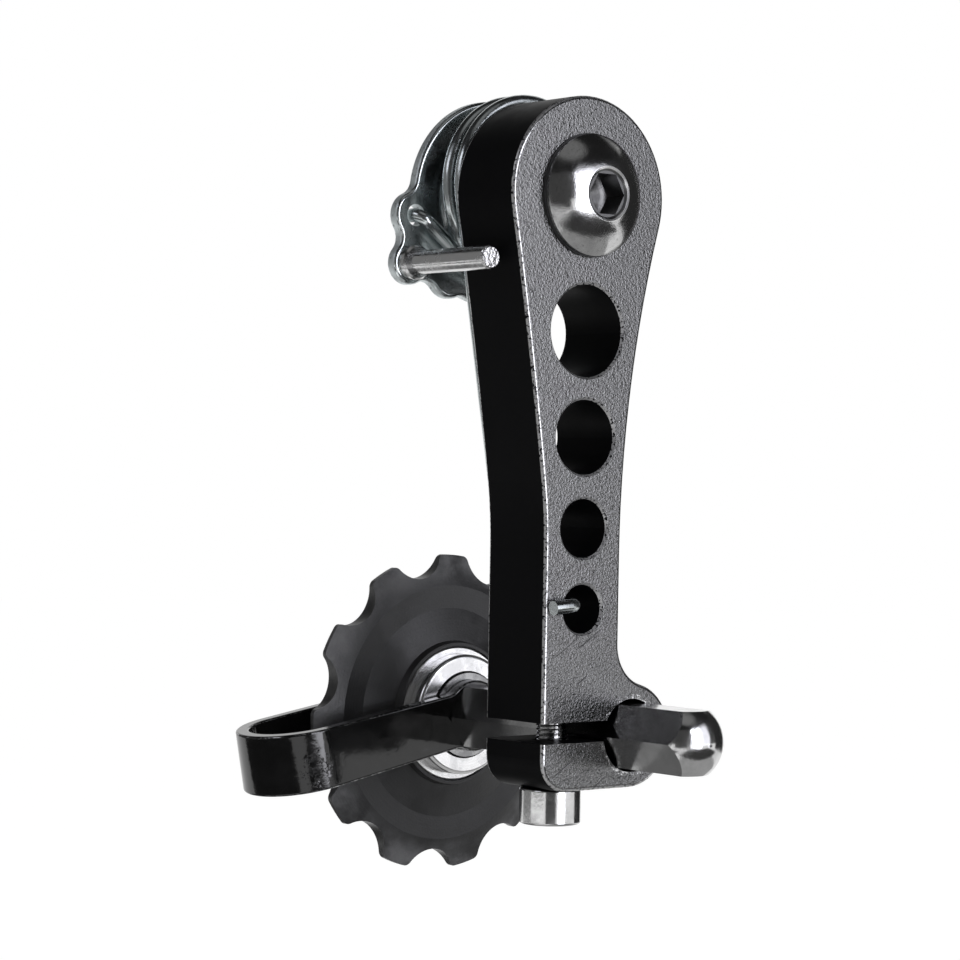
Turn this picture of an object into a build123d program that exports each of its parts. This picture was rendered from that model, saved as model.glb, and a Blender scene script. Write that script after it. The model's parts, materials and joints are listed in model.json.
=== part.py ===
from build123d import *
from math import acos, asin, atan, atan2, cos, degrees, hypot, pi, radians, sin, sqrt
import os

# Chain tensioner for a bicycle without a rear derailleur. A sprung arm hangs from the frame's hanger
# and carries a chain pulley on a hexagonal axle, which slides in a clamp to set the chain line.
# Millimetres. X runs to the right, Y to the back and Z up. The origin is on the pivot axis, in the
# face that seats on the hanger. Depths are measured forwards from that face, along -Y.

# Fits
running = 0.04  # radial clearance of a turning or sliding fit
seated = 0.02  # radial clearance of a pressed or screwed fit
end_play = 0.05  # axial clearance of the arm on its bush
free_gap = 0.3  # spring wire to the arm

# Stop plate, a drawn steel cup with a lobed flange
plate_thickness = 1.8
plate_radius = 13.3
plate_edge = 0.5
hub_height = 8.5
hub_radius = 8.7
hub_base_fillet = 1.4
hub_nose_fillet = 1.2
spring_lobe = (-13.2, -2.3)
spring_lobe_radius = 3.0
spring_hole_radius = 1.4
pin_lobe = (-13.7, -8.4)
pin_lobe_radius = 2.75
foot_lobe = (-7.2, -9.4)
foot_lobe_radius = 3.2
lobe_fillet = 2.2

# Stop pin, riveted into the flange
pin_radius = 1.5
pin_front = 17.7
pin_shoulder_radius = 2.2
pin_shoulder_length = 1.3
pin_tenon_radius = 1.2
pin_chamfer = 0.25

# Pivot bolt, bush and liners
bolt_radius = 5.0
bolt_thread_radius = 4.9
bolt_thread_reach = 9.0
bolt_thread_chamfer = 0.8
bolt_relief_radius = 4.2
bolt_relief_length = 1.0
bolt_head_radius = 7.6
bolt_head_edge = 0.5
bolt_head_height = 3.1
bolt_dome_rise = 0.36
bolt_rim_radius = 3.4
bolt_countersink = 0.4
bolt_socket_flats = 5.0
bolt_socket_depth = 3.2
socket_point_slope = 0.58
bush_wall = 1.0
liner_wall = 1.0
liner_length = 5.2
liner_flange_radius = 7.75
liner_flange_thickness = 0.4

# Swing arm
arm_thickness = 11.25
arm_head_radius = 12.45
arm_waist_half = 6.2
arm_waist_drop = 45.0
left_side_radius = 600.0
left_waist_drop = 40.0
left_waist_fillet = 60.0
arm_edge = 0.5
foot_corner_radius = 4.0
boss_radius = 6.6
boss_fillet = 5.4
lightening_holes = ((16.9, 5.8), (30.2, 4.7), (41.6, 3.7), (51.7, 3.07))  # drop below the pivot, radius
hole_chamfer = 0.3
clamp_slit = 2.6
clamp_slit_rise = 0.75  # middle of the slit above the axle

# Torsion spring, round wire with two straight ends
wire_radius = 0.9
coil_radius = 11.5
coil_centre = (0.9, 1.4)
coil_pitch = 2.45
coil_whole_turns = 1
hook_tip = 0.3
hook_bend = 1.6
leg_bend = 1.6
leg_knee = 1.5
leg_knee_radius = 40.0
leg_hole_angle = 160.0
leg_end_length = 4.1
leg_end_angle = 185.0

# Pinch bolt
pinch_radius = 2.0
pinch_head_radius = 3.9
pinch_head_height = 4.6
pinch_head_edge = 0.3
pinch_grip = 9.0  # thread above the slit
pinch_hole_clearance = 0.2
pinch_tap_spare = 1.0
pinch_socket_flats = 3.0
pinch_socket_depth = 2.2

# Hexagonal axle and its bolt
axle_x = 8.55
axle_drop = 67.85
axle_flats = 8.0
axle_front = 34.7
axle_back = -11.1
axle_nose_rise = 2.65
axle_back_chamfer = 0.4
axle_bolt_radius = 2.5
axle_bolt_grip = 12.0
axle_tap_spare = 2.0
axle_bolt_head_radius = 4.75
axle_bolt_head_height = 2.7
axle_bolt_head_edge = 0.5
axle_bolt_crown_radius = 3.0
axle_bolt_dome_rise = 0.22
axle_bolt_socket_flats = 3.0
axle_bolt_socket_depth = 1.6
washer_radius = 5.0
washer_thickness = 1.0
spacer_radius = 5.7
spacer_length = 2.6

# Chain guide, a flat bar folded into a U round the pulley, narrowing towards the axle
guide_width = 8.1
guide_neck_width = 7.2
guide_thickness = 1.8
guide_reach = 23.95
guide_tilt = 10.7
guide_eye_radius = 4.8
guide_neck_fillet = 3.0
guide_edge = 0.3

# Ball bearing
bearing_radius = 9.2
bearing_width = 7.2
outer_land_radius = 7.9
inner_land_radius = 5.1
ball_pitch_radius = 6.5
ball_radius = 1.6
ball_count = 8
ring_chamfer = 0.3
cage_wall = 1.0
cage_width = 4.2
shield_gap = 0.25  # round the spacer
shield_outer_radius = 8.15
shield_corner = 0.5
shield_thickness = 0.35
shield_stand = 2.2  # from the bearing's face to the shield's
shield_seat = 0.5

# Chain pulley
teeth = 11
tooth_angle = 85.6
tip_radius = 21.6
root_radius = 18.77
pocket_radius = 4.05
tip_half_width = 0.33
rim_half_width = 1.45
rim_taper_radius = 17.4
rim_inner_radius = 14.3
web_half_width = 2.6  # where the web meets the hub
pulley_hub_radius = 9.9
pulley_hub_rim_radius = 9.65
tip_fillet = 0.9

# Places along the pivot and the axle
bush_radius = bolt_radius + running + bush_wall
liner_radius = bush_radius + running + liner_wall
arm_back = hub_height + end_play + liner_flange_thickness
arm_front = arm_back + arm_thickness
arm_middle = (arm_back + arm_front) / 2
head_seat = arm_front + liner_flange_thickness + end_play
head_top = head_seat + bolt_head_height
axle_z = -axle_drop
foot_z = axle_z - boss_radius
slit_z = axle_z + clamp_slit_rise
axle_corner_radius = axle_flats / sqrt(3)
front_leg_back = axle_back - guide_thickness
bearing_front = front_leg_back - spacer_length
bearing_middle = bearing_front - bearing_width / 2
bearing_back = bearing_front - bearing_width
rear_leg_front = bearing_back - spacer_length
rear_leg_back = rear_leg_front - guide_thickness
axle_bolt_seat = rear_leg_back - washer_thickness
axle_bolt_tip = axle_back + axle_bolt_grip

# Axes and section planes, with local x as the radius and local y as the depth
pivot_axis = Axis((0, 0, 0), (0, 1, 0))
axle_axis = Axis((axle_x, 0, axle_z), (0, 1, 0))
pinch_axis = Axis((0, -arm_middle, 0), (0, 0, 1))
pivot_section = Plane((0, 0, 0), x_dir=(1, 0, 0), z_dir=(0, 0, -1))
axle_section = Plane((axle_x, 0, axle_z), x_dir=(1, 0, 0), z_dir=(0, 0, -1))
pinch_section = Plane((0, -arm_middle, 0), x_dir=(1, 0, 0), z_dir=(0, -1, 0))


def pivot_face(depth):
    """The plane that faces forwards at a depth, centred on the pivot."""
    return Plane.XZ.offset(depth)


def axle_face(depth):
    """The plane that faces forwards at a depth, centred on the axle."""
    return Plane((axle_x, -depth, axle_z), x_dir=(1, 0, 0), z_dir=(0, -1, 0))


def write(piece, name):
    """Labels a finished piece and writes it as its own file."""
    piece.part.label = name
    export_step(piece.part, f"parts/{name}.step")


def dome_middle(low, high, rise):
    """The middle point of an arc that bows out from the chord between two points."""
    chord = hypot(high[0] - low[0], high[1] - low[1])
    out_x = (high[1] - low[1]) / chord
    out_y = (low[0] - high[0]) / chord
    return ((low[0] + high[0]) / 2 + rise * out_x, (low[1] + high[1]) / 2 + rise * out_y)


os.makedirs("parts", exist_ok=True)

# Stop plate
with BuildPart() as stop_plate:
    with BuildSketch(pivot_face(0)):
        Circle(plate_radius)
        for lobe, radius in ((spring_lobe, spring_lobe_radius), (pin_lobe, pin_lobe_radius),
                             (foot_lobe, foot_lobe_radius)):
            SlotCenterPoint((lobe[0] / 2, lobe[1] / 2), lobe, 2 * radius)
        offset(amount=lobe_fillet, kind=Kind.ARC)
        offset(amount=-lobe_fillet, kind=Kind.ARC)
    extrude(amount=plate_thickness)
    fillet(edges().group_by(Axis.Y)[0] + edges().group_by(Axis.Y)[-1], plate_edge)
    with BuildSketch(pivot_face(plate_thickness)):
        Circle(hub_radius)
    extrude(amount=hub_height - plate_thickness)
    hub_rims = edges().filter_by(lambda rim: rim.geom_type == GeomType.CIRCLE and
                                 abs(rim.radius - hub_radius) < seated).sort_by(Axis.Y)
    fillet(hub_rims[0], hub_nose_fillet)
    fillet(hub_rims[-1], hub_base_fillet)
    with BuildSketch(pivot_face(0)):
        Circle(hub_radius - plate_thickness)
    extrude(amount=hub_height - plate_thickness, mode=Mode.SUBTRACT)
    with BuildSketch(pivot_face(0)):
        Circle(bolt_radius + running)
        with Locations(spring_lobe):
            Circle(spring_hole_radius)
        with Locations(pin_lobe):
            Circle(pin_tenon_radius + seated)
    extrude(amount=hub_height, mode=Mode.SUBTRACT)

write(stop_plate, "stop_plate")

# Stop pin, with its tenon through the flange
pin_section = Plane((pin_lobe[0], 0, pin_lobe[1]), x_dir=(1, 0, 0), z_dir=(0, 0, -1))
shoulder_top = plate_thickness + pin_shoulder_length
with BuildPart() as stop_pin:
    with BuildSketch(pin_section):
        with BuildLine():
            Polyline((0, 0), (pin_tenon_radius, 0), (pin_tenon_radius, plate_thickness),
                     (pin_shoulder_radius, plate_thickness), (pin_shoulder_radius, shoulder_top - pin_chamfer),
                     (pin_shoulder_radius - pin_chamfer, shoulder_top), (pin_radius, shoulder_top),
                     (pin_radius, pin_front - pin_chamfer), (pin_radius - pin_chamfer, pin_front),
                     (0, pin_front), close=True)
        make_face()
    revolve(axis=Axis((pin_lobe[0], 0, pin_lobe[1]), (0, 1, 0)))
write(stop_pin, "stop_pin")

# Pivot bolt, with a domed head and a hexagonal socket
dome_low = (bolt_head_radius, head_seat + bolt_head_edge)
dome_high = (bolt_rim_radius, head_top)
socket_corner = bolt_socket_flats / sqrt(3)
socket_mouth = head_top - bolt_countersink
with BuildPart() as pivot_bolt:
    with BuildSketch(pivot_section):
        with BuildLine():
            Polyline((0, socket_mouth), (0, -bolt_thread_reach),
                     (bolt_thread_radius - bolt_thread_chamfer, -bolt_thread_reach),
                     (bolt_thread_radius, bolt_thread_chamfer - bolt_thread_reach), (bolt_thread_radius, 0),
                     (bolt_relief_radius, 0), (bolt_relief_radius, bolt_relief_length),
                     (bolt_radius, bolt_relief_length), (bolt_radius, head_seat),
                     (bolt_head_radius, head_seat), dome_low)
            ThreePointArc(dome_low, dome_middle(dome_low, dome_high, bolt_dome_rise), dome_high)
            Polyline(dome_high, (socket_corner, socket_mouth), (0, socket_mouth))
        make_face()
    revolve(axis=pivot_axis)
    with BuildSketch(pivot_face(socket_mouth)):
        RegularPolygon(bolt_socket_flats / 2, 6, major_radius=False)
    extrude(amount=-bolt_socket_depth, mode=Mode.SUBTRACT)
    socket_floor = socket_mouth - bolt_socket_depth
    with BuildSketch(pivot_section):
        with BuildLine():
            Polyline((0, socket_floor), (bolt_socket_flats / 2, socket_floor),
                     (0, socket_floor - socket_point_slope * bolt_socket_flats / 2), close=True)
        make_face()
    revolve(axis=pivot_axis, mode=Mode.SUBTRACT)
write(pivot_bolt, "pivot_bolt")

# Pivot bush, clamped between the bolt's head and the hub
with BuildPart() as pivot_bush:
    with BuildSketch(pivot_face(hub_height)):
        Circle(bush_radius)
        Circle(bolt_radius + running, mode=Mode.SUBTRACT)
    extrude(amount=head_seat - hub_height)
write(pivot_bush, "pivot_bush")


# Flanged liners, pressed into both ends of the arm's bore
def build_liner(name, face, outwards):
    """A liner whose flange lies on one of the arm's faces, with its sleeve in the bore."""
    sleeve_end = face - outwards * liner_length
    flange_face = face + outwards * liner_flange_thickness
    with BuildPart() as liner:
        with BuildSketch(pivot_section):
            with BuildLine():
                Polyline((bush_radius + running, sleeve_end), (liner_radius, sleeve_end),
                         (liner_radius, face), (liner_flange_radius, face),
                         (liner_flange_radius, flange_face), (bush_radius + running, flange_face), close=True)
            make_face()
        revolve(axis=pivot_axis)
    write(liner, name)


build_liner("arm_liner_front", arm_front, 1)
build_liner("arm_liner_rear", arm_back, -1)

# Swing arm: the right side sweeps in from the round head to the waist on an arc tangent to both, the left
# side on a flatter arc that is tangent to the head and meets the waist higher up
side_radius = (arm_waist_half**2 + arm_waist_drop**2 - arm_head_radius**2)
side_radius /= 2 * (arm_head_radius - arm_waist_half)
side_angle = degrees(atan2(arm_waist_drop, arm_waist_half + side_radius))
side_centre_x = arm_waist_half + side_radius
left_waist = (-arm_waist_half, -left_waist_drop)
left_centre_distance = left_side_radius + arm_head_radius
left_waist_distance = hypot(arm_waist_half, left_waist_drop)
left_lift = (left_centre_distance**2 + left_waist_distance**2 - left_side_radius**2) / (2 * left_centre_distance)
left_angle = degrees(asin(left_lift / left_waist_distance) - atan2(arm_waist_half, left_waist_drop))
left_centre = (-left_centre_distance * cos(radians(left_angle)), -left_centre_distance * sin(radians(left_angle)))
left_end_angle = degrees(atan2(left_waist[1] - left_centre[1], left_waist[0] - left_centre[0]))
pinch_top = slit_z + clamp_slit / 2 + pinch_grip
with BuildPart() as swing_arm:
    with BuildSketch(pivot_face(arm_back)) as arm_outline:
        with BuildLine():
            CenterArc((0, 0), arm_head_radius, -side_angle, 180 + side_angle + left_angle)
            CenterArc((side_centre_x, -arm_waist_drop), side_radius, 180 - side_angle, side_angle)
            CenterArc(left_centre, left_side_radius, left_angle, left_end_angle - left_angle)
            Polyline((arm_waist_half, -arm_waist_drop), (arm_waist_half, foot_z),
                     (-arm_waist_half, foot_z), left_waist)
        make_face()
        fillet(vertices().sort_by_distance((*left_waist, 0))[0], left_waist_fillet)
        with Locations((axle_x, axle_z)):
            Circle(boss_radius)
        with Locations((axle_x / 2, axle_z - boss_radius / 2)):
            Rectangle(axle_x, boss_radius)
        boss_root = (arm_waist_half, axle_z + sqrt(boss_radius**2 - (axle_x - arm_waist_half)**2), 0)
        fillet(vertices().sort_by_distance(boss_root)[0], boss_fillet)
        fillet(vertices().sort_by_distance((-arm_waist_half, foot_z, 0))[0], foot_corner_radius)
    extrude(amount=arm_thickness)
    fillet(edges().group_by(Axis.Y)[0] + edges().group_by(Axis.Y)[-1], arm_edge)
    with BuildSketch(pivot_face(arm_back)):
        Circle(liner_radius + seated)
        for drop, radius in lightening_holes:
            with Locations((0, -drop)):
                Circle(radius)
        with Locations((axle_x, axle_z)):
            Circle(axle_corner_radius + running)
    extrude(amount=arm_thickness, mode=Mode.SUBTRACT)
    rims = edges().filter_by(GeomType.CIRCLE).filter_by(lambda rim: abs(rim.arc_center.X) < running)
    rims = rims.filter_by(lambda rim: rim.radius < bush_radius)
    chamfer(rims, hole_chamfer)
    with BuildSketch(pivot_face(arm_back)):
        with Locations(((axle_x - arm_waist_half) / 2, slit_z)):
            Rectangle(axle_x + arm_waist_half, clamp_slit)
    extrude(amount=arm_thickness, mode=Mode.SUBTRACT)
    with BuildSketch(Plane.XY.offset(foot_z)):
        with Locations((0, -arm_middle)):
            Circle(pinch_radius + pinch_hole_clearance)
    extrude(amount=slit_z - foot_z, mode=Mode.SUBTRACT)
    with BuildSketch(Plane.XY.offset(slit_z)):
        with Locations((0, -arm_middle)):
            Circle(pinch_radius + seated)
    extrude(amount=pinch_top + pinch_tap_spare - slit_z, mode=Mode.SUBTRACT)
write(swing_arm, "swing_arm")


# Torsion spring: from the hook in the flange round the hub, then down behind the arm, through its last
# hole and over its front face
def run_angle(point, side):
    """The angle on the coil where a straight run from a point touches it."""
    across = point[0] - coil_centre[0]
    up = point[1] - coil_centre[1]
    return degrees(atan2(up, across)) + side * degrees(acos(coil_radius / hypot(across, up)))


leg_hole_drop, leg_hole_radius = lightening_holes[-1]
leg_offset = leg_hole_radius - free_gap - wire_radius
leg_point = (leg_offset * cos(radians(leg_hole_angle)), leg_offset * sin(radians(leg_hole_angle)) - leg_hole_drop)
leg_depth = arm_back - free_gap - wire_radius
leg_front = arm_front + free_gap + wire_radius
hook_angle = run_angle(spring_lobe, 1)
coil_turns = coil_whole_turns + (run_angle(leg_point, -1) - hook_angle) % 360 / 360
coil_rise = atan(coil_pitch / (2 * pi * coil_radius))
coil_end = leg_depth - leg_knee * sin(coil_rise)
coil_start = coil_end - coil_pitch * coil_turns
coil_plane = Plane((coil_centre[0], -coil_start, coil_centre[1]),
                   x_dir=(cos(radians(hook_angle)), 0, sin(radians(hook_angle))), z_dir=(0, -1, 0))
hook_run = sqrt((spring_lobe[0] - coil_centre[0])**2 + (spring_lobe[1] - coil_centre[1])**2 - coil_radius**2)
leg_end = (leg_point[0] + leg_end_length * cos(radians(leg_end_angle)), -leg_front,
           leg_point[1] + leg_end_length * sin(radians(leg_end_angle)))
coil = coil_plane * Helix(coil_pitch, coil_pitch * coil_turns, coil_radius)
hook_corner = coil @ 0 - (coil % 0) * (hook_run / cos(coil_rise))
with BuildPart() as torsion_spring:
    with BuildLine() as spring_line:
        FilletPolyline((hook_corner.X, -hook_tip, hook_corner.Z), hook_corner, coil @ 0, radius=hook_bend)
        add(coil)
        FilletPolyline(coil @ 1, coil @ 1 + (coil % 1) * leg_knee,
                       (leg_point[0], -leg_depth, leg_point[1]), (leg_point[0], -leg_front, leg_point[1]),
                       leg_end, radius=[leg_knee_radius, leg_bend, leg_bend])
    with BuildSketch(Plane((hook_corner.X, -hook_tip, hook_corner.Z), x_dir=(1, 0, 0), z_dir=(0, -1, 0))):
        Circle(wire_radius)
    sweep(path=spring_line.wire())
write(torsion_spring, "torsion_spring")

# Pinch bolt, a socket cap screw that closes the clamp from below
pinch_head_end = foot_z - pinch_head_height
with BuildPart() as pinch_bolt:
    with BuildSketch(pinch_section):
        with BuildLine():
            Polyline((0, pinch_head_end), (pinch_head_radius - pinch_head_edge, pinch_head_end),
                     (pinch_head_radius, pinch_head_end + pinch_head_edge), (pinch_head_radius, foot_z),
                     (pinch_radius, foot_z), (pinch_radius, pinch_top), (0, pinch_top), close=True)
        make_face()
    revolve(axis=pinch_axis)
    with BuildSketch(Plane.XY.offset(pinch_head_end)):
        with Locations((0, -arm_middle)):
            RegularPolygon(pinch_socket_flats / 2, 6, major_radius=False)
    extrude(amount=pinch_socket_depth, mode=Mode.SUBTRACT)
write(pinch_bolt, "pinch_bolt")

# Hexagonal axle, turned to a round nose at the front and tapped at the back
nose_radius = (axle_corner_radius**2 + axle_nose_rise**2) / (2 * axle_nose_rise)
nose_half_angle = asin(axle_corner_radius / nose_radius) / 2
nose_low = (axle_corner_radius, axle_front - axle_nose_rise)
nose_middle = (nose_radius * sin(nose_half_angle), axle_front - nose_radius * (1 - cos(nose_half_angle)))
with BuildPart() as hex_axle:
    with BuildSketch(axle_face(axle_back)):
        RegularPolygon(axle_flats / 2, 6, major_radius=False)
    extrude(amount=axle_front - axle_back)
    with BuildSketch(axle_section):
        with BuildLine():
            Polyline((0, axle_back), (axle_corner_radius - axle_back_chamfer, axle_back),
                     (axle_corner_radius, axle_back + axle_back_chamfer), nose_low)
            ThreePointArc(nose_low, nose_middle, (0, axle_front))
            Line((0, axle_front), (0, axle_back))
        make_face()
    revolve(axis=axle_axis, mode=Mode.INTERSECT)
    with BuildSketch(axle_face(axle_back)):
        Circle(axle_bolt_radius + seated)
    extrude(amount=axle_bolt_grip + axle_tap_spare, mode=Mode.SUBTRACT)
write(hex_axle, "hex_axle")

# Axle bolt, screwed in from behind
crown_depth = axle_bolt_seat - axle_bolt_head_height
bolt_low = (axle_bolt_head_radius, axle_bolt_seat - axle_bolt_head_edge)
bolt_high = (axle_bolt_crown_radius, crown_depth)
with BuildPart() as axle_bolt:
    with BuildSketch(axle_section):
        with BuildLine():
            Polyline((0, crown_depth), (0, axle_bolt_tip), (axle_bolt_radius, axle_bolt_tip),
                     (axle_bolt_radius, axle_bolt_seat), (axle_bolt_head_radius, axle_bolt_seat), bolt_low)
            ThreePointArc(bolt_low, dome_middle(bolt_high, bolt_low, axle_bolt_dome_rise), bolt_high)
            Line(bolt_high, (0, crown_depth))
        make_face()
    revolve(axis=axle_axis)
    with BuildSketch(axle_face(crown_depth)):
        RegularPolygon(axle_bolt_socket_flats / 2, 6, major_radius=False)
    extrude(amount=axle_bolt_socket_depth, mode=Mode.SUBTRACT)
write(axle_bolt, "axle_bolt")


# Rings on the axle bolt
def build_ring(name, depth, length, radius):
    """A plain ring on the axle bolt, from a depth towards the back."""
    with BuildPart() as ring:
        with BuildSketch(axle_face(depth)):
            Circle(radius)
            Circle(axle_bolt_radius + running, mode=Mode.SUBTRACT)
        extrude(amount=-length)
    write(ring, name)


build_ring("spacer_front", front_leg_back, spacer_length, spacer_radius)
build_ring("spacer_rear", bearing_back, spacer_length, spacer_radius)
build_ring("axle_washer", rear_leg_back, washer_thickness, washer_radius)

# Chain guide: in both planes local x runs out along the legs, and local y is the depth in the fold's plane
# and the bar's width in the side plane
tilt_x = cos(radians(guide_tilt))
tilt_z = sin(radians(guide_tilt))
fold_plane = Plane((axle_x, 0, axle_z), x_dir=(-tilt_x, 0, -tilt_z), z_dir=(-tilt_z, 0, tilt_x))
side_plane = Plane((axle_x, -axle_back, axle_z), x_dir=(-tilt_x, 0, -tilt_z), z_dir=(0, 1, 0))
guide_outside = axle_back - rear_leg_back
guide_inside = front_leg_back - rear_leg_front
guide_end = guide_reach + guide_outside / 2
with BuildPart() as chain_guide:
    with BuildSketch(fold_plane):
        for opening, mode in ((guide_outside, Mode.ADD), (guide_inside, Mode.SUBTRACT)):
            with Locations(((guide_reach - guide_eye_radius) / 2, bearing_middle)):
                Rectangle(guide_reach + guide_eye_radius, opening, mode=mode)
            with Locations((guide_reach, bearing_middle)):
                Circle(opening / 2, mode=mode)
    extrude(amount=guide_width, both=True)
    with BuildSketch(side_plane):
        with BuildLine():
            Polyline((0, guide_neck_width / 2), (guide_end, guide_width / 2),
                     (guide_end, -guide_width / 2), (0, -guide_neck_width / 2), close=True)
        make_face()
        Circle(guide_eye_radius)
        necks = vertices().filter_by(lambda corner: abs(corner.X) < guide_eye_radius)
        fillet(necks, guide_neck_fillet)
    extrude(amount=guide_outside, mode=Mode.INTERSECT)
    with BuildSketch(axle_face(axle_back)):
        Circle(axle_bolt_radius + running)
    extrude(amount=-guide_outside, mode=Mode.SUBTRACT)
    outline = edges().filter_by(lambda edge: edge.geom_type != GeomType.CIRCLE or
                                abs(edge.radius - axle_bolt_radius - running) > seated)
    fillet(outline, guide_edge)
write(chain_guide, "chain_guide")

# Bearing rings, with a groove for the balls and a seat for each shield
groove_radius = ball_radius + running
with BuildPart() as bearing_outer_ring:
    with BuildSketch(axle_section):
        with Locations(((outer_land_radius + bearing_radius) / 2, bearing_middle)):
            Rectangle(bearing_radius - outer_land_radius, bearing_width)
        for face, inwards in ((bearing_front, -1), (bearing_back, 1)):
            with Locations(((outer_land_radius + shield_outer_radius + seated) / 2,
                            face + inwards * shield_seat / 2)):
                Rectangle(shield_outer_radius + seated - outer_land_radius, shield_seat, mode=Mode.SUBTRACT)
        with Locations((ball_pitch_radius, bearing_middle)):
            Circle(groove_radius, mode=Mode.SUBTRACT)
    revolve(axis=axle_axis)
    rims = edges().filter_by(lambda rim: rim.geom_type == GeomType.CIRCLE and
                             abs(rim.radius - bearing_radius) < seated)
    chamfer(rims, ring_chamfer)
write(bearing_outer_ring, "bearing_outer_ring")

with BuildPart() as bearing_inner_ring:
    with BuildSketch(axle_section):
        ring_inside = axle_bolt_radius + running
        with Locations(((ring_inside + inner_land_radius) / 2, bearing_middle)):
            Rectangle(inner_land_radius - ring_inside, bearing_width)
        with Locations((ball_pitch_radius, bearing_middle)):
            Circle(groove_radius, mode=Mode.SUBTRACT)
    revolve(axis=axle_axis)
write(bearing_inner_ring, "bearing_inner_ring")

with BuildPart() as bearing_balls:
    with Locations(axle_face(bearing_middle)):
        with PolarLocations(ball_pitch_radius, ball_count):
            Sphere(ball_radius)
write(bearing_balls, "bearing_balls")

with BuildPart() as bearing_cage:
    with BuildSketch(axle_face(bearing_middle)):
        Circle(ball_pitch_radius + cage_wall / 2)
        Circle(ball_pitch_radius - cage_wall / 2, mode=Mode.SUBTRACT)
    extrude(amount=cage_width / 2, both=True)
    with Locations(axle_face(bearing_middle)):
        with PolarLocations(ball_pitch_radius, ball_count):
            Cylinder(groove_radius, 2 * cage_wall, rotation=(0, 90, 0), mode=Mode.SUBTRACT)
write(bearing_cage, "bearing_cage")


# Shields, drawn cups that snap into the outer ring and stand proud of it
def build_shield(name, face, outwards):
    """A cup with a hole for the spacer, its rim in the seat behind a face of the bearing."""
    flat = face + outwards * shield_stand
    rim = face - outwards * shield_seat
    thick = outwards * shield_thickness
    hole_radius = spacer_radius + shield_gap
    wall_radius = shield_outer_radius - shield_thickness
    with BuildPart() as shield:
        with BuildSketch(axle_section):
            with BuildLine():
                Polyline((hole_radius, flat), (shield_outer_radius, flat), (shield_outer_radius, rim),
                         (wall_radius, rim), (wall_radius, flat - thick), (hole_radius, flat - thick), close=True)
            make_face()
            fillet(vertices().sort_by_distance((shield_outer_radius, flat, 0))[0], shield_corner)
        revolve(axis=axle_axis)
    write(shield, name)


build_shield("bearing_shield_front", bearing_front, 1)
build_shield("bearing_shield_rear", bearing_back, -1)

# Chain pulley: a turned section with a pocket for each chain roller
with BuildPart() as pulley_wheel:
    with BuildSketch(axle_section):
        with BuildLine():
            half_section = [(bearing_radius + seated, 0), (bearing_radius + seated, bearing_width / 2),
                            (pulley_hub_rim_radius, bearing_width / 2), (pulley_hub_radius, web_half_width),
                            (rim_inner_radius, rim_half_width), (rim_taper_radius, rim_half_width),
                            (tip_radius, tip_half_width), (tip_radius, 0)]
            Polyline([(radius, bearing_middle + half) for radius, half in half_section])
            Polyline([(radius, bearing_middle - half) for radius, half in half_section])
        make_face()
    revolve(axis=axle_axis)
    with BuildSketch(axle_face(bearing_front)):
        pocket_start = tooth_angle + 180 / teeth
        with PolarLocations(root_radius + pocket_radius, teeth, start_angle=pocket_start):
            Circle(pocket_radius)
    extrude(amount=-bearing_width, mode=Mode.SUBTRACT)
    tip_corners = edges().filter_by(Axis.Y).filter_by(
        lambda edge: hypot(edge.center().X - axle_x, edge.center().Z - axle_z) > tip_radius - tip_fillet)
    fillet(tip_corners, tip_fillet)
write(pulley_wheel, "pulley_wheel")
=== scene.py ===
import bpy
import json
from math import cos, pi, radians, sin
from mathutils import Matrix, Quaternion, Vector

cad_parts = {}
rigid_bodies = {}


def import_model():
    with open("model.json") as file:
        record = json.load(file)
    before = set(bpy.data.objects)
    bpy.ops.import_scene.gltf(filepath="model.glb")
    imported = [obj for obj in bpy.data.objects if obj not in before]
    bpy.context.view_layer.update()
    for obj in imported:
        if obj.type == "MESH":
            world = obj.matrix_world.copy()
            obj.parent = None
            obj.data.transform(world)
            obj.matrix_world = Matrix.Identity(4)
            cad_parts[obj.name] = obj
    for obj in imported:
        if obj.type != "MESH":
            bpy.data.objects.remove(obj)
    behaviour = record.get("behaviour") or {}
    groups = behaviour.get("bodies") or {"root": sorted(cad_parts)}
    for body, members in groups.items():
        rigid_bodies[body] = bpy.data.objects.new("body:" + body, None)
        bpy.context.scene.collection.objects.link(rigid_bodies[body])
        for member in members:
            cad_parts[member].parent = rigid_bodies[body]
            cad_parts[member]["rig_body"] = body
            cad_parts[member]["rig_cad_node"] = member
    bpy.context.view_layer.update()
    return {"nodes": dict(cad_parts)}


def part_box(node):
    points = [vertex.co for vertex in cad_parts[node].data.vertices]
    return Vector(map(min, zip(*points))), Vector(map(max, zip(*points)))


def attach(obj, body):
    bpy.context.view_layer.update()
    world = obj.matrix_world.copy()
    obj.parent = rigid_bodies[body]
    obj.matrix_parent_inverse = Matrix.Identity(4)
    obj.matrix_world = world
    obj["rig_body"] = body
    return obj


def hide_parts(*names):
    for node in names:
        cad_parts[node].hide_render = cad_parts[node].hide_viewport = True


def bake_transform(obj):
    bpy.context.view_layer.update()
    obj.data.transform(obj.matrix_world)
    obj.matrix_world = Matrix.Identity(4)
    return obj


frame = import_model()
nodes = frame["nodes"]

MM = 0.001

# Camera: the point it looks at, its distance, its direction and roll in degrees, its lens in millimetres
camera_target = Vector((-16.886, -20.2, -35.727)) * MM
camera_distance = 344.0 * MM
camera_azimuth = -39.004
camera_elevation = 0.253
camera_roll = 1.018
camera_lens = 106.44
camera_sensor = 36.0
camera_nearest = 10 * MM

# Floor: its height, radius and grey, and the glow that shows it white to the camera and to mirrors
floor_z = -200 * MM
floor_radius = 3.0
floor_sides = 64
floor_grey = 0.8
floor_roughness = 0.9
floor_glow = 1.2
floor_glow_share = 0.8

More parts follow.
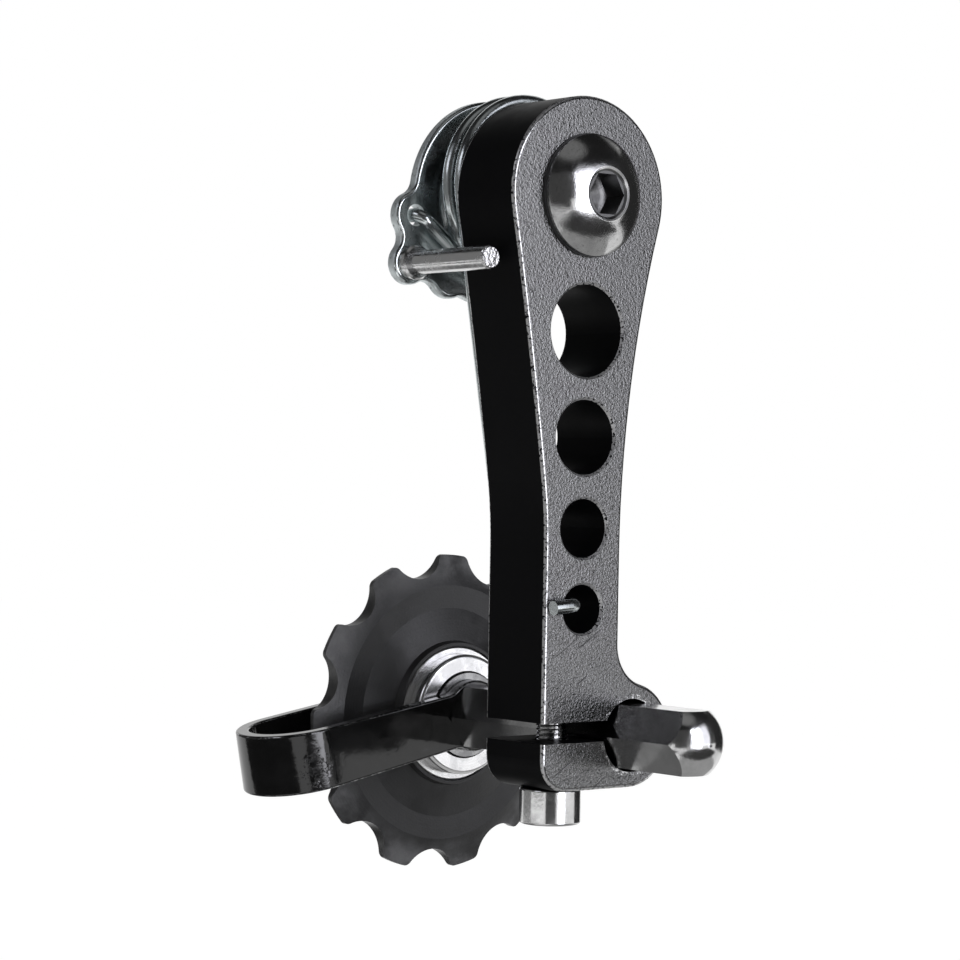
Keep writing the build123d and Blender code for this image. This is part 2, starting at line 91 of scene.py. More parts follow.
# Room: the fill on dull surfaces, and what mirrors see of it at the horizon and from a height up
fill_level = 0.25
room_level_low = 0.10
room_level_high = 0.015
room_height = 0.6

# Openings that mirrors see in the room: direction, cosines where each is full and where it ends, level
openings = (
    ((0.70, 0.70, -0.12), 0.85, 0.45, 1.0),
    ((-0.07, -0.39, 0.92), 0.985, 0.90, 0.22),
)

# Lamps: azimuth and elevation in degrees, distance, width and height in metres, and radiance
lamp_colour = (0.92, 0.925, 1.0)
softboxes = {
    "key softbox": (4.5, 9.3, 0.6, 0.288, 0.53, 4.8),
    "right card": (31, 13.1, 0.6, 0.277, 0.45, 1.55),
    "left lamp": (-95, 34, 0.6, 0.3, 0.2, 1.5),
}

# Walls round the part for the mirrors: azimuth in degrees, width, bottom and top in metres, and level
wall_distance = 0.6
strip_top = -138 * MM
walls = {
    "camera wall": (-37, 0.40, floor_z, 0.35, 0.07),
    "left wall": (-85, 0.50, strip_top, 0.28, 0.20),
    "left strip": (-85, 0.50, floor_z, strip_top, 1.2),
    "right wall": (85, 0.53, floor_z, 0.35, 0.03),
    "back left wall": (-137, 0.50, -0.165, 0.40, 0.22),
}

# Parts of the table that mirrors see darker: middle across and along, width and length in metres, level
table_lift = 1 * MM
table_tops = {
    "table in front": (0.14, -0.38, 0.6, 0.4, 0.05),
    # The card below the part is a painted shadow: the floor darkened under the part, as mirrors see it
    "table with painted shadow": (-0.05, 0.15, 0.2, 0.24, 0.16),
    "table on the left": (-0.38, 0.085, 0.32, 0.67, 0.06),
    "table under the bolt": (0.08, -0.075, 0.36, 0.21, 0.42),
}

# Places on the object, from the frame
axle_low, axle_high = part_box("hex_axle")
bolt_low, bolt_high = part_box("pivot_bolt")
pinch_low, pinch_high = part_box("pinch_bolt")
arm_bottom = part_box("swing_arm")[0].z
pin_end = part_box("stop_pin")[0].y
guide_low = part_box("chain_guide")[0]
axle_bolt_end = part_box("axle_bolt")[1].y
pivot_centre = Vector((0, 0, 0))
axle_centre = Vector(((axle_low.x + axle_high.x) / 2, 0, (axle_low.z + axle_high.z) / 2))
along_bolts = (0, 1, 0)

# Key sockets in the two bolts, radius and depth, the rim's painted highlight, and where the socket's
# painted shade ends
pivot_socket = (3.12 * MM, 4.5 * MM)
axle_socket = (1.78 * MM, 1.8 * MM)
socket_edge = 0.05 * MM
socket_fade = 1 * MM
rim_start = 0.08 * MM
rim_fade = 0.3 * MM
rim_stop = 0.4 * MM

# The plate's sheared flange, and the pin's peened end
flange_depth = 2.6 * MM
flange_fade = 0.3 * MM
peened_depth = 0.3 * MM
peened_fade = 0.5 * MM

# The guide: the tilt of its legs, and the chips at its bend
guide_tilt = radians(10.7)
guide_chip_centre = guide_low + Vector((6.0, 0.3, 4.0)) * MM
guide_chip_reach = 2.6 * MM

# Wear on the arm: the scratches low down and the bare rim of the axle's bore
scratch_top = arm_bottom + 24 * MM
scratch_fade = 8 * MM
scratch_slant = radians(32)
scratch_stretch = (90, 90, 2400)
bore_wear = 5.3 * MM
bore_wear_fade = 0.2 * MM

# Dust on the pulley's teeth, which also stands in as a painted highlight: the radius where it starts and
# where it is full
teeth_dust_and_highlight = (17.0 * MM, 20.5 * MM)

# Grain of the finishes, in features to the metre
coat_pebbles = 3900.0
coat_smudges = 120.0
coat_edge_chips = 2600.0
coat_bore_flecks = 1800.0
plating_grain = 2600.0
plating_smudges = 400.0
bolt_specks = 4200.0
bolt_smudges = 260.0
pin_dents = 2200.0
enamel_peel = 500.0
enamel_flecks = 1500.0
enamel_chips = 1100.0
plastic_pebbles = 3000.0
plastic_smudges = 150.0

# Height of the bumps in the finishes, and the spacing of turned and moulded rings
coat_relief = 0.09 * MM
polished_relief = 0.005 * MM
ground_relief = 0.002 * MM
plate_relief = 0.04 * MM
bolt_relief = 0.007 * MM
pin_relief = 0.22 * MM
enamel_relief = 0.05 * MM
plastic_relief = 0.02 * MM
turned_pitch = 0.2 * MM
moulded_pitch = 0.3 * MM

# Threads: outer radius and pitch, the lead-in at the end, and how far each reaches into its bolt's head
hanger_thread = (4.9 * MM, 1.0 * MM)
hanger_lead_in = 0.5 * MM
hanger_overlap = 0.05 * MM
pinch_thread = (2.0 * MM, 0.5 * MM)
pinch_lead_in = 0.25 * MM
pinch_overlap = 0.3 * MM
thread_depth_ratio = 0.61
thread_steps = 32
spare_turns = 3

# Pinch bolt's head: its key, its socket and its rounded rims
pinch_key = 3.0 * MM
pinch_socket_depth = 2.2 * MM
pinch_head_sides = 96
pinch_rim = 0.35 * MM
pinch_rim_steps = 4

# Meshes: corners closer than this are one, and edges past this angle are sharp
merge_distance = 0.001 * MM
sharp_angle = radians(35)


# Shader helpers
def feed(tree, socket, value):
    """Sets a socket to a value, or links it to another socket."""
    if isinstance(value, bpy.types.NodeSocket):
        tree.links.new(value, socket)
    else:
        socket.default_value = value


def add(tree, kind, inputs=None, **properties):
    """Adds a shader node, with each input set to a value or linked to a socket."""
    node = tree.nodes.new("ShaderNode" + kind)
    for name, value in properties.items():
        setattr(node, name, value)
    for name, value in (inputs or {}).items():
        feed(tree, node.inputs[name], value)
    return node


def math_of(tree, operation, first, second=0.0):
    """One math step between two sockets or values."""
    return add(tree, "Math", {0: first, 1: second}, operation=operation).outputs[0]


def product(tree, *factors):
    """Several masks multiplied."""
    result = factors[0]
    for factor in factors[1:]:
        result = math_of(tree, "MULTIPLY", result, factor)
    return result


def ramp_of(tree, value, low, high, out_low=0.0, out_high=1.0):
    """A smooth step of a value from one range to another."""
    inputs = {"Value": value, "From Min": low, "From Max": high, "To Min": out_low, "To Max": out_high}
    return add(tree, "MapRange", inputs, interpolation_type="SMOOTHSTEP").outputs["Result"]


def between(tree, mask, first, second):
    """A number that goes from the first value, where a mask is empty, to the second, where it is full."""
    return ramp_of(tree, mask, 0.0, 1.0, first, second)


def mix_colour(tree, factor, first, second):
    """Two colours mixed by a mask."""
    return add(tree, "Mix", {0: factor, 6: first, 7: second}, data_type="RGBA").outputs[2]


def measure(tree, operation, first, second=(0.0, 0.0, 0.0)):
    """One number from one or two vectors, such as a length or a distance."""
    return add(tree, "VectorMath", {0: first, 1: second}, operation=operation).outputs["Value"]


def parts_of(tree, vector):
    """The X, Y and Z of a vector."""
    return add(tree, "SeparateXYZ", {"Vector": vector}).outputs


def grey(level, tint=(1.0, 1.0, 1.0)):
    """A grey, or a tinted grey, as a colour value."""
    return (level * tint[0], level * tint[1], level * tint[2], 1.0)


def new_group(name, inputs, outputs):
    """An empty shader group with named inputs, their defaults, and named float outputs."""
    tree = bpy.data.node_groups.new(name, "ShaderNodeTree")
    tree.interface.new_socket("Vector", in_out="INPUT", socket_type="NodeSocketVector")
    for label, default in inputs.items():
        socket = tree.interface.new_socket(label, in_out="INPUT", socket_type="NodeSocketFloat")
        socket.default_value = default
    for label in outputs:
        tree.interface.new_socket(label, in_out="OUTPUT", socket_type="NodeSocketFloat")
    return tree, tree.nodes.new("NodeGroupInput").outputs, tree.nodes.new("NodeGroupOutput").inputs


def use_group(tree, group, vector, **values):
    """Places a group in a material and returns its outputs."""
    node = tree.nodes.new("ShaderNodeGroup")
    node.node_tree = group
    tree.links.new(vector, node.inputs["Vector"])
    for label, value in values.items():
        node.inputs[label.capitalize()].default_value = value
    return node.outputs


# Effects that several finishes share: the cells of the pebbled skin, and where each mask starts and is full
pebble_cell_ratio = 0.6
pebble_hollow_share = 0.3
pit_levels = (0.28, 0.12)
smudge_levels = (0.35, 0.7)
chip_levels = (0.98, 1.04)


def make_pebble_group():
    """The fine pebbled skin of a coat, a plating or a moulded plastic, and its pits."""
    tree, given, result = new_group("pebbled skin", {"Scale": plating_grain}, ["Height", "Pits"])
    noise = add(tree, "TexNoise", {"Vector": given["Vector"], "Scale": given["Scale"], "Detail": 3.0,
                                   "Roughness": 0.55, "Distortion": 0.3})
    cell_scale = math_of(tree, "MULTIPLY", given["Scale"], pebble_cell_ratio)
    cells = add(tree, "TexVoronoi", {"Vector": given["Vector"], "Scale": cell_scale, "Smoothness": 0.6},
                feature="SMOOTH_F1")
    hollows = math_of(tree, "MULTIPLY", cells.outputs["Distance"], pebble_hollow_share)
    bumps = math_of(tree, "SUBTRACT", noise.outputs["Fac"], hollows)
    tree.links.new(bumps, result["Height"])
    tree.links.new(ramp_of(tree, bumps, *pit_levels), result["Pits"])
    return tree


def make_lathe_group():
    """Fine turned rings round a Y axis through the given vector's origin, and the distance from it."""
    tree, given, result = new_group("turned rings", {"Pitch": turned_pitch}, ["Height", "Radius"])
    parts = parts_of(tree, given["Vector"])
    flat = add(tree, "CombineXYZ", {"X": parts["X"], "Z": parts["Z"]})
    radius = measure(tree, "LENGTH", flat.outputs[0])
    rings = math_of(tree, "DIVIDE", radius, given["Pitch"])
    noise = add(tree, "TexNoise", {"W": rings, "Scale": 1.0, "Detail": 2.0}, noise_dimensions="1D")
    tree.links.new(noise.outputs["Fac"], result["Height"])
    tree.links.new(radius, result["Radius"])
    return tree


def make_smudge_group():
    """Broad soft patches, for uneven gloss."""
    tree, given, result = new_group("smudges", {"Scale": plating_smudges}, ["Mask"])
    noise = add(tree, "TexNoise", {"Vector": given["Vector"], "Scale": given["Scale"], "Detail": 4.0,
                                   "Roughness": 0.6})
    tree.links.new(ramp_of(tree, noise.outputs["Fac"], *smudge_levels), result["Mask"])
    return tree


def make_chip_group():
    """Scattered small chips with sharp outlines; a lower amount leaves fewer of them."""
    tree, given, result = new_group("chips", {"Scale": enamel_chips, "Amount": 0.5}, ["Mask"])
    noise = add(tree, "TexNoise", {"Vector": given["Vector"], "Scale": given["Scale"], "Detail": 5.0,
                                   "Roughness": 0.65})
    level = math_of(tree, "ADD", noise.outputs["Fac"], given["Amount"])
    tree.links.new(ramp_of(tree, level, *chip_levels), result["Mask"])
    return tree


pebble_group = make_pebble_group()
lathe_group = make_lathe_group()
smudge_group = make_smudge_group()
chip_group = make_chip_group()


# Finishes
def new_material(name):
    """A material with its shader nodes."""
    material = bpy.data.materials.new(name)
    material.use_nodes = True
    return material, material.node_tree


def new_finish(name):
    """A material with its Principled shader and its object coordinates."""
    material, tree = new_material(name)
    return material, tree, tree.nodes["Principled BSDF"], add(tree, "TexCoord").outputs["Object"]


def centred(tree, coords, centre):
    """Object coordinates measured from a centre."""
    return add(tree, "Mapping", {"Vector": coords, "Location": -centre}).outputs[0]


def facing_of(tree, direction):
    """How far the surface faces along a direction or against it, from 0 to 1."""
    normal = add(tree, "TexCoord").outputs["Normal"]
    return math_of(tree, "ABSOLUTE", measure(tree, "DOT_PRODUCT", normal, direction))


def bump_on(tree, surface, height, distance):
    """Feeds a height into the shader's normal."""
    bump = add(tree, "Bump", {"Height": height, "Distance": distance})
    tree.links.new(bump.outputs["Normal"], surface.inputs["Normal"])


def set_inputs(tree, surface, **values):
    """Sets or links the shader's inputs, named with underscores."""
    for label, value in values.items():
        feed(tree, surface.inputs[label.replace("_", " ")], value)


# Arm coat: its tones and gloss, its wear, and how squarely it faces along the bolts for each effect
coat_black = grey(0.004, (1, 1, 1.15))
coat_mirror = grey(0.20)
coat_bare = grey(0.55)
coat_dull = (0.4, 0.5)
coat_gloss = 0.10
coat_specular = 0.05
pit_gloss_share = 0.5
scratch_gloss_share = 0.35
scratch_depth = 0.4
scratch_edge = (0.65, 0.69)
low_pebble_share = 0.75
edge_chip_amount = 0.56
bore_fleck_amount = 0.47
glossy_facing = (0.75, 0.97)
pebbled_facing = (0.96, 0.995)
rubbed_facing = (0.10, 0.25)
unrubbed_facing = (0.985, 0.93)


def scratches_on(tree, coords, low_down):
    """Slanting scratches on the low part of the arm."""
    slanted = add(tree, "Mapping", {"Vector": coords, "Rotation": (0, scratch_slant, 0)}).outputs[0]
    stretched = add(tree, "VectorMath", {0: slanted, 1: scratch_stretch}, operation="MULTIPLY").outputs[0]
    streaks = add(tree, "TexNoise", {"Vector": stretched, "Scale": 1.0, "Detail": 2.0}).outputs["Fac"]
    return product(tree, ramp_of(tree, streaks, *scratch_edge), low_down)


def bare_metal_on(tree, coords, facing, flat):
    """Where the coat is rubbed through: along the edges and round the axle's bore."""
    chips = use_group(tree, chip_group, coords, scale=coat_edge_chips, amount=edge_chip_amount)
    flecks = use_group(tree, chip_group, coords, scale=coat_bore_flecks, amount=bore_fleck_amount)
    edges = product(tree, ramp_of(tree, facing, *rubbed_facing), ramp_of(tree, facing, *unrubbed_facing),
                    chips["Mask"])
    from_axle = use_group(tree, lathe_group, centred(tree, coords, axle_centre))["Radius"]
    near_bore = ramp_of(tree, from_axle, bore_wear, bore_wear - bore_wear_fade)
    return math_of(tree, "MAXIMUM", edges, product(tree, near_bore, flat, flecks["Mask"]))


def arm_coat():
    """Black baked coat, glossy and pebbled on flat faces, smooth on the sides, rubbed along its edges."""
    material, tree, surface, coords = new_finish("arm coat")
    pebbles = use_group(tree, pebble_group, coords, scale=coat_pebbles)
    smudges = use_group(tree, smudge_group, coords, scale=coat_smudges)
    facing = facing_of(tree, along_bolts)
    flat = ramp_of(tree, facing, *glossy_facing)
    low_down = ramp_of(tree, parts_of(tree, coords)["Z"], scratch_top, scratch_top - scratch_fade)
    scratches = scratches_on(tree, coords, low_down)
    worn = bare_metal_on(tree, coords, facing, flat)
    gloss = product(tree, flat, between(tree, scratches, 1.0, scratch_gloss_share),
                    between(tree, pebbles["Pits"], 1.0, pit_gloss_share))
    tone = mix_colour(tree, gloss, coat_black, coat_mirror)
    tone = mix_colour(tree, worn, tone, coat_bare)
    rough = between(tree, flat, between(tree, smudges["Mask"], *coat_dull), coat_gloss)
    set_inputs(tree, surface, Base_Color=tone, Roughness=rough, Specular_IOR_Level=coat_specular,
               Metallic=math_of(tree, "MAXIMUM", gloss, worn))
    skin = product(tree, pebbles["Height"], between(tree, low_down, 1.0, low_pebble_share))
    height = math_of(tree, "SUBTRACT", skin, math_of(tree, "MULTIPLY", scratches, scratch_depth))
    bump_on(tree, surface, product(tree, height, ramp_of(tree, facing, *pebbled_facing)), coat_relief)
    return material


# Steels: their tints, how dull the smudges on them are, and how smooth they are, clean and smudged
neutral_tint = (1.0, 1.0, 1.0)
zinc_tint = (0.94, 1.0, 1.01)
cage_tint = (1.0, 0.96, 0.9)
smudge_dulling = 0.86
zinc_gloss = (0.16, 0.28)
turned_gloss = (0.2, 0.35)


def bright_steel(name, level, gloss, tint=neutral_tint, ring_centre=None, relief=polished_relief):
    """Polished or plated steel, with turned rings where it was turned."""
    material, tree, surface, coords = new_finish(name)
    smudges = use_group(tree, smudge_group, coords, scale=plating_smudges)
    tone = mix_colour(tree, smudges["Mask"], grey(level, tint), grey(level * smudge_dulling, tint))
    rough = between(tree, smudges["Mask"], *gloss)
    set_inputs(tree, surface, Base_Color=tone, Roughness=rough, Metallic=1.0)
    height = use_group(tree, pebble_group, coords, scale=plating_grain)["Height"]
    if ring_centre is not None:
        rings = use_group(tree, lathe_group, centred(tree, coords, ring_centre), pitch=turned_pitch)
        height = math_of(tree, "ADD", height, rings["Height"])
    bump_on(tree, surface, height, relief)
    return material


# Zinc plate: its tones, and how squarely it faces along the bolts where a sheared edge ends and is full
zinc_bright = grey(0.66, zinc_tint)
zinc_dull = grey(0.57, zinc_tint)
sheared_bright = grey(0.85, zinc_tint)
sheared_pits = grey(0.4, zinc_tint)
sheared_roughness = 0.5
sheared_facing = (0.6, 0.3)
plate_skin_share = 0.12


def plate_zinc():
    """Zinc-plated sheet, with the dull grain of its sheared edges."""
    material, tree, surface, coords = new_finish("zinc plate")
    smudges = use_group(tree, smudge_group, coords, scale=plating_smudges)
    grain = use_group(tree, pebble_group, coords, scale=plating_grain)
    on_flange = ramp_of(tree, parts_of(tree, coords)["Y"], -flange_depth - flange_fade, -flange_depth)
    sheared = product(tree, ramp_of(tree, facing_of(tree, along_bolts), *sheared_facing), on_flange)
    tone = mix_colour(tree, smudges["Mask"], zinc_bright, zinc_dull)
    tone = mix_colour(tree, sheared, tone, sheared_bright)
    tone = mix_colour(tree, product(tree, grain["Pits"], sheared), tone, sheared_pits)
    rough = math_of(tree, "MAXIMUM", between(tree, smudges["Mask"], *zinc_gloss),
                    math_of(tree, "MULTIPLY", sheared, sheared_roughness))
    set_inputs(tree, surface, Base_Color=tone, Roughness=rough, Metallic=1.0)
    height = product(tree, grain["Height"], between(tree, sheared, plate_skin_share, 1.0))
    bump_on(tree, surface, height, plate_relief)
    return material


# Bolt chrome: its plating, clean, smudged and pitted, a painted highlight on its socket's rim and painted
# shade in the socket
chrome_bright = grey(0.57)
chrome_dull = grey(0.43)
chrome_pits = grey(0.25)
# A painted highlight on the ring round the socket's mouth
chrome_rim_painted_highlight = grey(0.95)
chrome_gloss = (0.12, 0.22)
chrome_pit_share = 0.5
chrome_ring_share = 0.4
# Painted shade inside the key socket; the socket and its rim are also made duller
socket_painted_shade = grey(0.16)
socket_roughness = 0.34


def bolt_chrome(name, centre, mouth, socket_radius, socket_depth):
    """Polished bolt, with speckled plating on its dome, painted shade in the socket behind its mouth and a
    painted highlight on its rim.
    """
    material, tree, surface, coords = new_finish(name)
    smudges = use_group(tree, smudge_group, coords, scale=bolt_smudges)
    specks = use_group(tree, pebble_group, coords, scale=bolt_specks)
    rings = use_group(tree, lathe_group, centred(tree, coords, centre), pitch=turned_pitch)
    radius = rings["Radius"]
    inside = ramp_of(tree, radius, socket_radius + socket_edge, socket_radius - socket_edge)
    from_mouth = math_of(tree, "ABSOLUTE", math_of(tree, "SUBTRACT", parts_of(tree, coords)["Y"], mouth))
    near_mouth = ramp_of(tree, from_mouth, socket_depth + socket_fade, socket_depth)
    # Painted shade inside the socket, and a painted highlight on the ring round its mouth
    socket_shade = product(tree, inside, near_mouth)
    rim = product(tree, ramp_of(tree, radius, socket_radius, socket_radius + rim_start),
                  ramp_of(tree, radius, socket_radius + rim_stop, socket_radius + rim_fade), near_mouth)
    tone = mix_colour(tree, smudges["Mask"], chrome_bright, chrome_dull)
    tone = mix_colour(tree, math_of(tree, "MULTIPLY", specks["Pits"], chrome_pit_share), tone, chrome_pits)
    tone = mix_colour(tree, rim, tone, chrome_rim_painted_highlight)
    tone = mix_colour(tree, socket_shade, tone, socket_painted_shade)
    dulled = math_of(tree, "MULTIPLY", math_of(tree, "MAXIMUM", socket_shade, rim), socket_roughness)
    rough = math_of(tree, "MAXIMUM", between(tree, smudges["Mask"], *chrome_gloss), dulled)
    set_inputs(tree, surface, Base_Color=tone, Roughness=rough, Metallic=1.0)
    ridges = math_of(tree, "MULTIPLY", rings["Height"], chrome_ring_share)
    bump_on(tree, surface, math_of(tree, "ADD", specks["Height"], ridges), bolt_relief)
    return material


# Thread steel: bright crests, painted shade in its roots, and how squarely it faces along the bolt where a
# flank starts
thread_bright = grey(0.62)
thread_dull = grey(0.52)
thread_gloss = (0.16, 0.26)
# Painted shade in the thread's roots, which are also rougher
thread_root_painted_shade = grey(0.06)
thread_root_roughness = 0.5
crest_share = 0.2
flank_facing = (0.95, 0.85)


def thread_steel(name, outer_radius, pitch):
    """Plated thread round the Y axis, bright on its crests, with painted shade in its rougher roots."""
    material, tree, surface, coords = new_finish(name)
    smudges = use_group(tree, smudge_group, coords, scale=plating_smudges)
    radius = use_group(tree, lathe_group, coords)["Radius"]
    root_radius = outer_radius - thread_depth_ratio * pitch
    in_root = ramp_of(tree, radius, outer_radius - crest_share * pitch, root_radius)
    # Painted shade darkens the roots of the thread
    root_shade = product(tree, in_root, ramp_of(tree, facing_of(tree, along_bolts), *flank_facing))
    tone = mix_colour(tree, smudges["Mask"], thread_bright, thread_dull)
    tone = mix_colour(tree, root_shade, tone, thread_root_painted_shade)
    rough = math_of(tree, "MAXIMUM", between(tree, smudges["Mask"], *thread_gloss),
                    math_of(tree, "MULTIPLY", root_shade, thread_root_roughness))
    set_inputs(tree, surface, Base_Color=tone, Roughness=rough, Metallic=1.0)
    grain = use_group(tree, pebble_group, coords, scale=plating_grain)
    bump_on(tree, surface, grain["Height"], polished_relief)
    return material


# Pin steel: its plating, the dents of its peened end, and how squarely that end faces along the bolts
pin_bright = grey(0.64)
pin_dent_dark = grey(0.12)
pin_skin_share = 0.06
peened_facing = (0.3, 0.8)


def pin_steel():
    """Plated pin with a peened end."""
    material, tree, surface, coords = new_finish("pin steel")
    smudges = use_group(tree, smudge_group, coords, scale=plating_smudges)
    dents = use_group(tree, pebble_group, coords, scale=pin_dents)
    full_depth = pin_end + peened_depth
    near_end = ramp_of(tree, parts_of(tree, coords)["Y"], full_depth + peened_fade, full_depth)
    peened = product(tree, near_end, ramp_of(tree, facing_of(tree, along_bolts), *peened_facing))
    tone = mix_colour(tree, product(tree, dents["Pits"], peened), pin_bright, pin_dent_dark)
    rough = between(tree, smudges["Mask"], *zinc_gloss)
    set_inputs(tree, surface, Base_Color=tone, Roughness=rough, Metallic=1.0)
    height = product(tree, dents["Height"], between(tree, peened, pin_skin_share, 1.0))
    bump_on(tree, surface, height, pin_relief)
    return material


# Guide enamel: its tones and gloss, its wear, and how squarely it faces across the bar where its edges rub
enamel_black = grey(0.0035)
enamel_grey = grey(0.006)
enamel_bare = grey(0.35)
enamel_gloss = (0.07, 0.11)
enamel_specular = 0.6
enamel_peel_share = 0.1
enamel_fleck_amount = 0.46
enamel_chip_amount = 0.47
enamel_rubbed_facing = (0.25, 0.5)
enamel_unrubbed_facing = (0.95, 0.75)


def guide_enamel():
    """Gloss black enamel on the folded bar, chipped at the bend and rubbed along its edges."""
    material, tree, surface, coords = new_finish("guide enamel")
    peel = use_group(tree, smudge_group, coords, scale=enamel_peel)
    flecks = use_group(tree, chip_group, coords, scale=enamel_flecks, amount=enamel_fleck_amount)
    chips = use_group(tree, chip_group, coords, scale=enamel_chips, amount=enamel_chip_amount)
    facing = facing_of(tree, (-sin(guide_tilt), 0, cos(guide_tilt)))
    rubbed = product(tree, ramp_of(tree, facing, *enamel_rubbed_facing),
                     ramp_of(tree, facing, *enamel_unrubbed_facing), flecks["Mask"])
    distance = measure(tree, "DISTANCE", coords, guide_chip_centre)
    dents = product(tree, ramp_of(tree, distance, guide_chip_reach, guide_chip_reach / 2), chips["Mask"])
    tone = mix_colour(tree, peel["Mask"], enamel_black, enamel_grey)
    tone = mix_colour(tree, rubbed, tone, enamel_bare)
    set_inputs(tree, surface, Base_Color=tone, Metallic=rubbed, Specular_IOR_Level=enamel_specular,
               Roughness=between(tree, peel["Mask"], *enamel_gloss))
    skin = math_of(tree, "MULTIPLY", peel["Mask"], enamel_peel_share)
    bump_on(tree, surface, math_of(tree, "SUBTRACT", skin, dents), enamel_relief)
    return material


# Black plastic: its tone, smudged, and dusty with a painted highlight on the teeth, and the share of its
# rings in its bumps
plastic_black = grey(0.013)
plastic_grey = grey(0.022)
# Pale tone on the outer teeth: dust, and a painted highlight on the tooth tops
plastic_dust_and_highlight = grey(0.12)
plastic_ring_share = 0.5


def black_plastic(name, ring_centre, gloss, dust_and_highlight_range=None):
    """Black plastic with the rings of its mould, paler from one radius to another if given, with dust and a
    painted highlight.
    """
    material, tree, surface, coords = new_finish(name)
    rings = use_group(tree, lathe_group, centred(tree, coords, ring_centre), pitch=moulded_pitch)
    pebbles = use_group(tree, pebble_group, coords, scale=plastic_pebbles)
    smudges = use_group(tree, smudge_group, coords, scale=plastic_smudges)
    tone = mix_colour(tree, smudges["Mask"], plastic_black, plastic_grey)
    if dust_and_highlight_range is not None:
        # Dust and a painted highlight on the outer teeth
        dust_and_highlight = product(tree, ramp_of(tree, rings["Radius"], *dust_and_highlight_range), smudges["Mask"])
        tone = mix_colour(tree, dust_and_highlight, tone, plastic_dust_and_highlight)
    set_inputs(tree, surface, Base_Color=tone, Roughness=between(tree, smudges["Mask"], *gloss))
    ridges = math_of(tree, "MULTIPLY", rings["Height"], plastic_ring_share)
    bump_on(tree, surface, math_of(tree, "ADD", ridges, pebbles["Height"]), plastic_relief)
    return material


finishes = {
    "coat": arm_coat(),
    "pivot_chrome": bolt_chrome("pivot bolt chrome", pivot_centre, bolt_low.y, *pivot_socket),
    "axle_chrome": bolt_chrome("axle bolt chrome", axle_centre, axle_bolt_end, *axle_socket),
    "thread": thread_steel("thread steel", *hanger_thread),
    "bar_chrome": bright_steel("bar chrome", level=0.62, gloss=(0.12, 0.20), ring_centre=axle_centre),
    "screw_chrome": bright_steel("screw chrome", level=0.64, gloss=(0.10, 0.18)),
    "zinc": bright_steel("zinc steel", level=0.66, gloss=zinc_gloss, tint=zinc_tint),
    "plate": plate_zinc(),
    "pin": pin_steel(),
    "wire": bright_steel("spring wire", level=0.64, gloss=zinc_gloss, tint=zinc_tint),
    "bush": bright_steel("bush steel", level=0.38, gloss=turned_gloss),
    "liner": black_plastic("liner plastic", pivot_centre, gloss=(0.4, 0.5)),
    "enamel": guide_enamel(),
    "pulley": black_plastic("pulley plastic", axle_centre, gloss=(0.34, 0.46), dust_and_highlight_range=teeth_dust_and_highlight),
    "bearing": bright_steel("bearing steel", level=0.9, gloss=(0.18, 0.26), ring_centre=axle_centre,
                            relief=ground_relief),
    "cage": bright_steel("cage steel", level=0.5, gloss=turned_gloss, tint=cage_tint,
                         ring_centre=axle_centre),
}
finish_of_node = {
    "swing_arm": "coat",
    "pivot_bolt": "pivot_chrome",
    "axle_bolt": "axle_chrome",
    "pinch_bolt": "screw_chrome",
    "hex_axle": "bar_chrome",
    "stop_plate": "plate",
    "stop_pin": "pin",
    "axle_washer": "zinc",
    "torsion_spring": "wire",
    "pivot_bush": "bush",
    "spacer_front": "bush",
    "spacer_rear": "bush",
    "arm_liner_front": "liner",
    "arm_liner_rear": "liner",
    "chain_guide": "enamel",
    "pulley_wheel": "pulley",
    "bearing_outer_ring": "bearing",
    "bearing_inner_ring": "bearing",
    "bearing_shield_front": "bearing",
    "bearing_shield_rear": "bearing",
    "bearing_balls": "bearing",
    "bearing_cage": "cage",
}
for node_name, finish in finish_of_node.items():
    slots = nodes[node_name].data.materials
    slots.clear()
    slots.append(finishes[finish])


# Mesh helpers
def make_active(piece):
    """Selects one object by itself and makes it the active one."""
    bpy.ops.object.select_all(action="DESELECT")
    piece.select_set(True)
    bpy.context.view_layer.objects.active = piece


def edit_all():
    """Opens the active mesh for editing with everything selected."""
    bpy.ops.object.mode_set(mode="EDIT")
    bpy.ops.mesh.select_all(action="SELECT")


def close_edit():
    """Goes back from editing the active mesh."""
    bpy.ops.object.mode_set(mode="OBJECT")


def edit_corners(piece, chosen):
    """Opens the active mesh for editing with only the corners that a test picks selected."""
    bpy.ops.object.mode_set(mode="EDIT")
    bpy.ops.mesh.select_all(action="DESELECT")
    close_edit()
    for corner in piece.data.vertices:
        corner.select = chosen(corner.co)
    bpy.ops.object.mode_set(mode="EDIT")


def merge_corners():
    """Joins the corners of the active piece that lie on each other."""
    edit_all()
    bpy.ops.mesh.remove_doubles(threshold=merge_distance)
    close_edit()


def cut_off(plane_point, plane_normal):
    """Cuts away what lies past a plane on the active piece, and closes the cut."""
    edit_all()
    bpy.ops.mesh.bisect(plane_co=plane_point, plane_no=plane_normal, clear_outer=True, use_fill=True)
    close_edit()


def add_modifier(kind, **settings):
    """Adds a modifier with its settings to the active piece and applies it."""
    bpy.ops.object.modifier_add(type=kind)
    modifier = bpy.context.object.modifiers[-1]
    for name, value in settings.items():
        setattr(modifier, name, value)
    bpy.ops.object.modifier_apply(modifier=modifier.name)


def apply_place():
    """Moves the active piece's place into its mesh."""
    bpy.ops.object.transform_apply(location=True, rotation=True, scale=True)


def smooth_over():
    """Shades the active piece smooth between its sharp edges, with its large faces kept flat."""
    bpy.ops.object.shade_smooth_by_angle(angle=sharp_angle)
    add_modifier("WEIGHTED_NORMAL", keep_sharp=True)


def copy_node(node_name, piece_name):
    """A free copy of a node, merged into one skin."""
    make_active(nodes[node_name])
    bpy.ops.object.duplicate()
    piece = bpy.context.object
    piece.name = piece_name
    piece.parent = None
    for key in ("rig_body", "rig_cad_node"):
        del piece[key]
    merge_corners()
    bpy.ops.mesh.customdata_custom_splitnormals_clear()
    return piece


